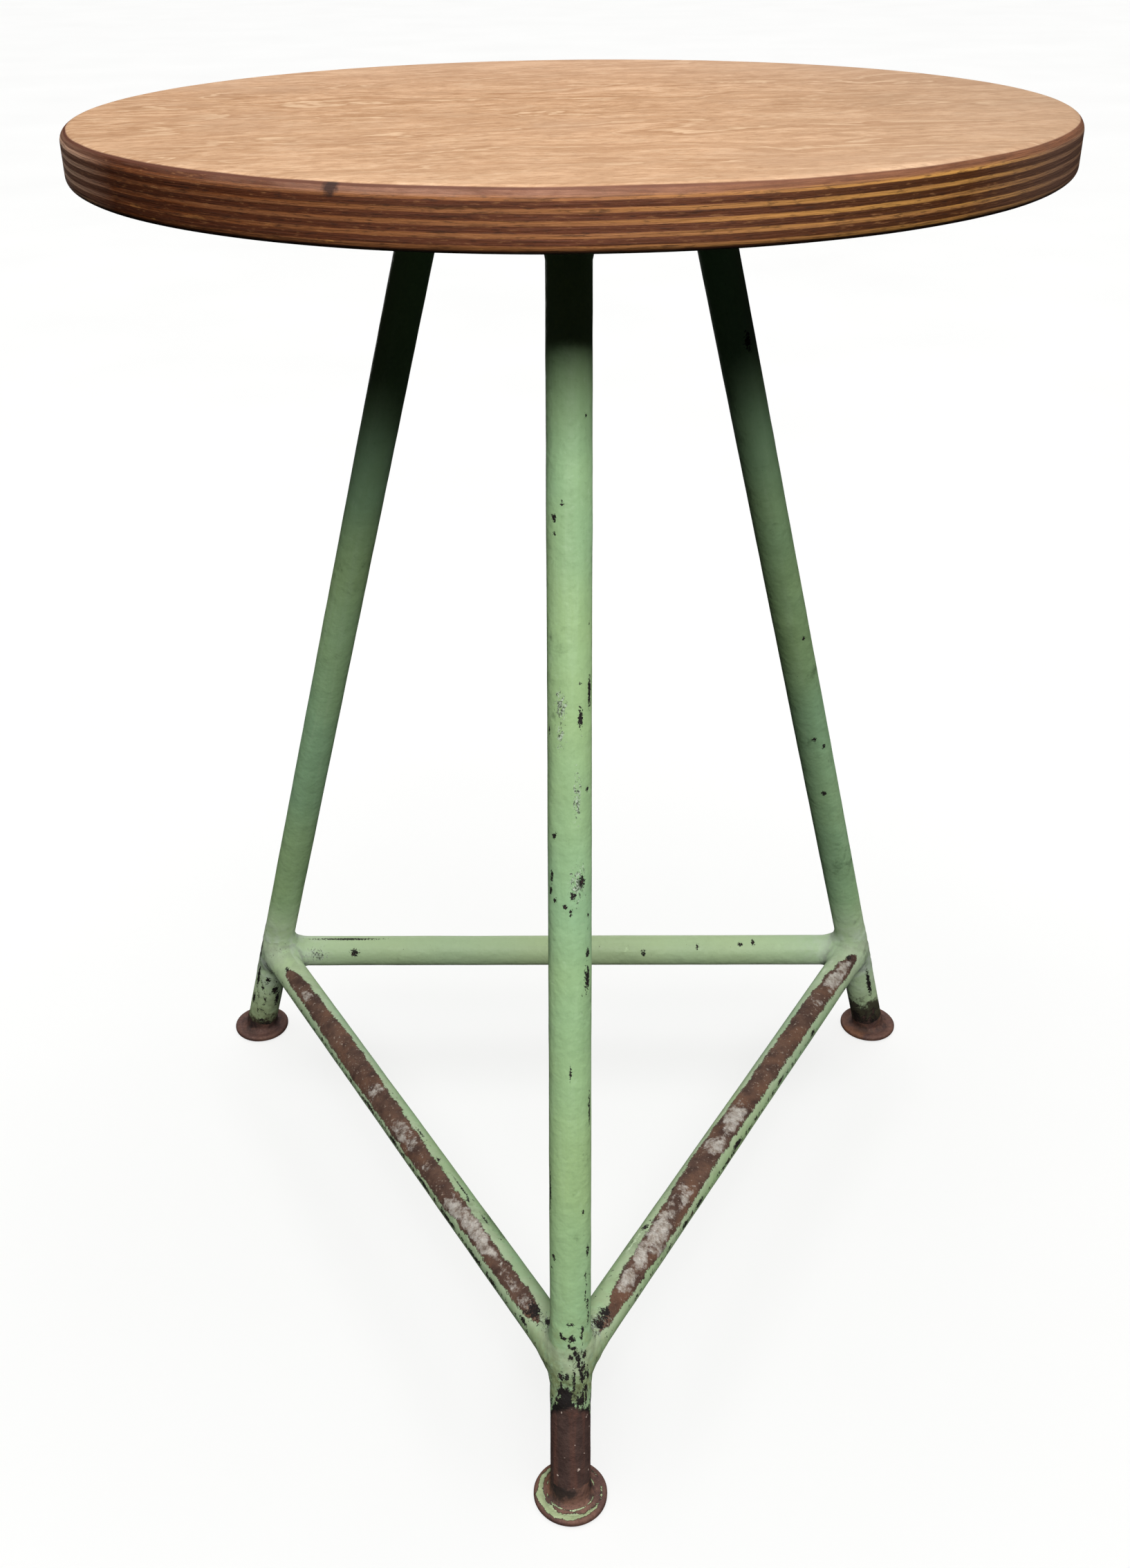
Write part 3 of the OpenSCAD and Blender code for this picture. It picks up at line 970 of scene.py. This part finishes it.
def make_welds():
    """On each leg: the weld with two bars, and those at the plate and the disc."""
    for name in AZIMUTHS:
        bars = [bar_field(name, other) for other in AZIMUTHS if other != name]
        joint = weld("footrest", name, BAR_Z, bars)
        make_piece(f"bar_weld_{name}", *joint, PAINT, f"footrest_weld_{name}")
        joint = weld("top", name, PLATE_LOW, [lambda p: PLATE_LOW - p[:, 2]],
                     lambda p: p[:, 2] - PLATE_LOW - 1.5 * MM)
        make_piece(f"plate_weld_{name}", *joint, PAINT, f"leg_weld_{name}")
        points, faces = weld("foot", name, FOOT_TOP, [lambda p: p[:, 2] - FOOT_TOP],
                             lambda p: 1.2 * MM - p[:, 2])
        fields = disc_fields(name, points)
        make_piece(f"disc_weld_{name}", points, faces, RUST, f"foot_weld_{name}", fields)


def disc_fields(name, points):
    """Rings of old paint on the front disc, and how near the leg a point is."""
    centre = leg_point(name, FOOT_TOP)
    x, y = (points - centre).T[:2]
    r = np.hypot(x, y)
    ring = np.full(len(points), -2.0)
    if name == "front":
        kept = 0.42 + 0.4 * np.cos(np.arctan2(y, x) + 2.4)
        outer = kept - np.abs(r - 12.3 * MM) / (1.7 * MM)
        ring = np.maximum(outer, 0.25 - np.abs(r - 9.6 * MM) / (0.7 * MM))
        ring = np.where(points[:, 2] > FOOT_TOP - 0.9 * MM, ring, -0.75)
    near = (1 - (r - ROD_R) / (5 * MM)).clip(0, 1)
    return {"ring": ring.clip(-2, 1), "near_leg": near}


# The dished top of a foot disc: mm from its centre, and mm above its highest level.
DISC_TOP = (
    (12.6, -0.05), (11.6, -0.12), (10.8, -0.45), (10.0, -0.5), (9.3, -0.2), (7, -0.3), (0, -0.3),
)


def make_discs():
    for name in AZIMUTHS:
        node = f"foot_disc_{name}"
        low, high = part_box(node)
        centre = middle_of(node)
        edge = (high.x - low.x) / 2 - 0.12 * MM
        top = high.z
        corners = [(0, 0, 0), (6 * MM, 0, 0), (edge, 0, 1.1 * MM), (edge, top, 1.3 * MM)]
        corners += [(r * MM, top + dz * MM, 0) for r, dz in DISC_TOP]
        points, faces = turned(fillet(corners, 7, 0.2 * MM), centre, 128)
        rel = points - np.array(centre)
        r = np.hypot(rel[:, 0], rel[:, 1])
        outer = np.clip((r / edge - 0.75) * 4, 0, 1)
        worn = 0.22 * MM * lump_share(points, 11 * MM, 61) * outer
        points[:, :2] -= rel[:, :2] * (worn / np.maximum(r, 1e-6))[:, None]
        raised = points[:, 2] > 0.5 * top
        dents = 0.12 * MM * lump_share(points, 6 * MM, 62)
        points[:, 2] -= np.where(raised, dents, 0)
        make_piece(f"foot_plate_{name}", points, faces, RUST, node, disc_fields(name, points))


def ring_piece(name, node, material, bore, bevel, segments=96):
    """A flat ring with bevelled edges in the box of a CAD node."""
    low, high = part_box(node)
    outer = (high.x - low.x) / 2
    levels = ((bore, low.z), (outer, low.z), (outer, high.z), (bore, high.z))
    profile = fillet([(r, z, bevel) for r, z in levels], 4, 0.15 * MM)
    make_piece(name, *turned(profile, middle_of(node), segments, closed=True), material, node)


LEAD = 4 * MM           # the thread's rise in a turn
THREAD_DEPTH = 2.0 * MM


def make_screw():
    """The spindle with its trapezoidal thread, and a plain journal at its lower end."""
    low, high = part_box("spindle")
    outer = (high.x - low.x) / 2
    journal = outer - 2.5 * MM
    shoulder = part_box("stop_washer")[1].z + 0.3 * MM
    columns = 72
    z = np.linspace(low.z, high.z, int((high.z - low.z) / (0.25 * MM)) + 1)[:, None]
    angle = (np.arange(columns) * 2 * math.pi / columns)[None, :]
    phase = (z / LEAD - angle / (2 * math.pi)) % 1.0
    cut = np.clip((np.abs(phase - 0.5) - 0.17) / 0.12, 0, 1)
    starts = np.clip((z - shoulder - 1.5 * MM) / (2 * MM), 0, 1)
    stops = np.clip((high.z - 7 * MM - z) / (2 * MM), 0, 1)
    radius = outer - THREAD_DEPTH * cut * (starts * stops)
    radius = np.where(z < shoulder, journal, radius)
    chamfer = np.clip(1 * MM - (z - low.z), 0, 1 * MM)
    radius = radius - chamfer * 0.7
    grid = np.stack([radius * np.cos(angle), radius * np.sin(angle), z + 0 * radius], -1)
    make_piece("screw_spindle", *closed_sheet(grid), STEEL, "spindle")


def bead_piece(name, node, material, inner, hollow):
    """A weld bead round a post, hollow in section and lumpy, below the plate it joins."""
    low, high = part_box(node)
    outer = (high.x - low.x) / 2
    rise = high.z - low.z
    steps = 7
    section = [(inner - 0.4 * MM, high.z), (inner - 0.4 * MM, low.z + 0.2 * MM)]
    for k in range(steps + 1):
        t = k / steps
        bow = hollow * math.sin(math.pi * t)
        r = inner + 0.3 * MM + (outer - inner - 0.5 * MM) * t - bow * 0.7
        section.append((r, low.z + 0.2 * MM + (rise - 0.4 * MM) * t + bow * 0.7))
    section.append((outer - 0.2 * MM, high.z))
    points, faces = turned(np.array(section), (0, 0), 120, closed=True)
    r = np.hypot(points[:, 0], points[:, 1])
    free = (r > inner + 0.1 * MM) & (points[:, 2] < high.z - 0.1 * MM)
    push = np.where(free, 0.14 * MM * lumps(points, 4 * MM, 71), 0)
    points[:, :2] *= (1 + push / r)[:, None]
    make_piece(name, points, faces, material, node)


def make_nut(spindle_r, nut_r):
    """A round nut, with a relief turned into its upper end."""
    low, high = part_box("spindle_nut")
    bore, relief = spindle_r + 0.06 * MM, spindle_r + 2.6 * MM
    step = high.z - 2.6 * MM
    corners = [
        (bore, low.z, 0.5 * MM), (nut_r, low.z, 1.0 * MM), (nut_r, high.z, 0.8 * MM),
        (relief, high.z, 0.3 * MM), (relief, step, 0.3 * MM), (bore, step, 0.3 * MM),
    ]
    points, faces = turned(fillet(corners, 4, 0.1 * MM), (0, 0), 96, closed=True)
    make_piece("round_nut", points, faces, STEEL, "spindle_nut")


def make_pin():
    low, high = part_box("stop_pin")
    radius = (high.z - low.z) / 2
    half = (high.x - low.x) / 2
    corners = [(0, -half, 0), (radius, -half, 0.4 * MM), (radius, half, 0.4 * MM), (0, half, 0)]
    points, faces = turned(fillet(corners, 4, 0.1 * MM), (0, 0), 32)
    points = np.stack([points[:, 2], points[:, 0], points[:, 1]], 1) + np.array((low + high) / 2)
    make_piece("cross_pin", points, faces, STEEL, "stop_pin")


def make_underside():
    """The plates, nut, welds and stop under the seat."""
    spindle_r = size_of("spindle").x / 2
    nut_r = size_of("spindle_nut").x / 2
    ring_piece("leg_plate", "top_plate", PAINT, nut_r + 0.05 * MM, 0.8 * MM)
    ring_piece("seat_plate", "seat_flange", STEEL, spindle_r + 0.05 * MM, 0.6 * MM)
    ring_piece("loose_washer", "stop_washer", STEEL, spindle_r - 2.45 * MM, 0.4 * MM, 64)
    make_nut(spindle_r, nut_r)
    bead_piece("nut_bead", "nut_weld", PAINT, nut_r, 1.3 * MM)
    bead_piece("plate_bead", "flange_weld", STEEL, spindle_r, 0.5 * MM)
    make_pin()


def finish_screws():
    """The CAD screws keep their shape and get the steel of the parts round them."""
    screws = frame["nodes"]["seat_screws"]
    screws.data.materials.clear()
    screws.data.materials.append(STEEL)
    for slot in screws.material_slots:
        slot.material = STEEL


make_seat()
make_rods()
make_welds()
make_discs()
make_screw()
make_underside()
finish_screws()


# ---- floor, light and camera

def make_floor():
    """A wide disc just under the feet. It takes shadows and gives no light back."""
    level = -0.0002
    rings = (0.3, 0.8, 2.0, 5.0, 15.0, 40.0)
    segments = 64
    angles = np.arange(segments) * 2 * math.pi / segments
    grid = np.array([[(r * math.cos(a), r * math.sin(a), level) for a in angles] for r in rings])
    points = np.vstack([grid.reshape(-1, 3), [[0, 0, level]]])
    hub = len(points) - 1
    faces = [face[:1] + face[:0:-1] for face in sheet_faces(len(rings), segments)]
    faces += [(hub, c, (c + 1) % segments) for c in range(segments)]
    mesh = bpy.data.meshes.new("floor")
    mesh.from_pydata(points.tolist(), [], faces)
    mesh.materials.append(floor_material())
    floor = place_object("floor", mesh)
    floor.visible_diffuse = floor.visible_glossy = False
    return floor


def lamp(name, kind, **settings):
    """A light object, at the origin and shining down."""
    data = bpy.data.lights.new(name, kind)
    for key, value in settings.items():
        setattr(data, key, value)
    return place_object(name, data)


def softbox(name, target, azimuth, elevation, distance, size, power):
    """An area light aimed at a point. Azimuth 0 shines from the front, 90 from the right."""
    a, e = math.radians(azimuth), math.radians(elevation)
    away = Vector((math.sin(a) * math.cos(e), -math.cos(a) * math.cos(e), math.sin(e)))
    light = lamp(name, "AREA", shape="RECTANGLE", size=size[0], size_y=size[1], energy=power)
    light.location = Vector(target) + away * distance
    light.rotation_euler = away.to_track_quat("Z", "Y").to_euler()
    return light


def link_floor(light, floor, state):
    """The light skips the floor, or lights nothing else."""
    group = bpy.data.collections.new(light.name + "_receivers")
    group.objects.link(floor)
    light.light_linking.receiver_collection = group
    group.collection_objects[0].light_linking.link_state = state


# The lights on the stool: target, azimuth, elevation, distance, size and power.
SOFTBOXES = {
    "key": ((0.0, -0.08, 0.41), 9, 36.5, 1.0, (0.6, 0.32), 11.8),
    "overhead": ((0, 0, 0.2), 0, 86, 1.8, (1.9, 1.9), 43),
    "behind": ((0, 0, 0.2), 188, 2, 1.5, (1.4, 0.3), 4.5),
}


def make_lights(floor):
    """Softboxes for the stool, and two suns straight above that light only the floor."""
    for name, settings in SOFTBOXES.items():
        link_floor(softbox(name, *settings), floor, "EXCLUDE")
    wash = lamp("floor_wash", "SUN", energy=2.6, angle=0.1, use_shadow=False)
    shade = lamp("floor_shade", "SUN", energy=0.9, angle=1.4, use_shadow=True)
    link_floor(wash, floor, "INCLUDE")
    link_floor(shade, floor, "INCLUDE")


def make_world():
    """White for the camera, and dim for everything that the sky lights."""
    world = bpy.data.worlds.new("studio")
    bpy.context.scene.world = world
    world.use_nodes = True
    nodes, links = world.node_tree.nodes, world.node_tree.links
    nodes.clear()
    mix = nodes.new("ShaderNodeMixShader")
    links.new(nodes.new("ShaderNodeLightPath").outputs["Is Camera Ray"], mix.inputs[0])
    for socket, colour, strength in ((1, (0.85, 0.93, 1, 1), 0.012), (2, (1, 1, 1, 1), 1.0)):
        sky = nodes.new("ShaderNodeBackground")
        sky.inputs["Color"].default_value = colour
        sky.inputs["Strength"].default_value = strength
        links.new(sky.outputs[0], mix.inputs[socket])
    links.new(mix.outputs[0], nodes.new("ShaderNodeOutputWorld").inputs["Surface"])


def make_camera():
    """The photo's view: a close camera, a little above the seat, looking down."""
    yaw, pitch, roll = -0.02303, 0.5222, 0.01576
    ahead = Vector((math.sin(yaw) * math.cos(pitch), math.cos(yaw) * math.cos(pitch), -math.sin(pitch)))
    right = Vector((math.cos(yaw), -math.sin(yaw), 0))
    down = ahead.cross(right)
    rolled_right = right * math.cos(roll) + down * math.sin(roll)
    rolled_down = down * math.cos(roll) - right * math.sin(roll)
    data = bpy.data.cameras.new("camera")
    data.lens = 35.548
    data.shift_x = 0.02908
    data.clip_start = 0.02
    camera = place_object("camera", data)
    axes = Matrix((rolled_right, -rolled_down, -ahead)).transposed()
    camera.matrix_world = Matrix.Translation((-0.00692, -0.59495, 0.55773)) @ axes.to_4x4()
    bpy.context.scene.camera = camera


make_lights(make_floor())
make_world()
make_camera()
bpy.context.scene.view_settings.view_transform = "Standard"
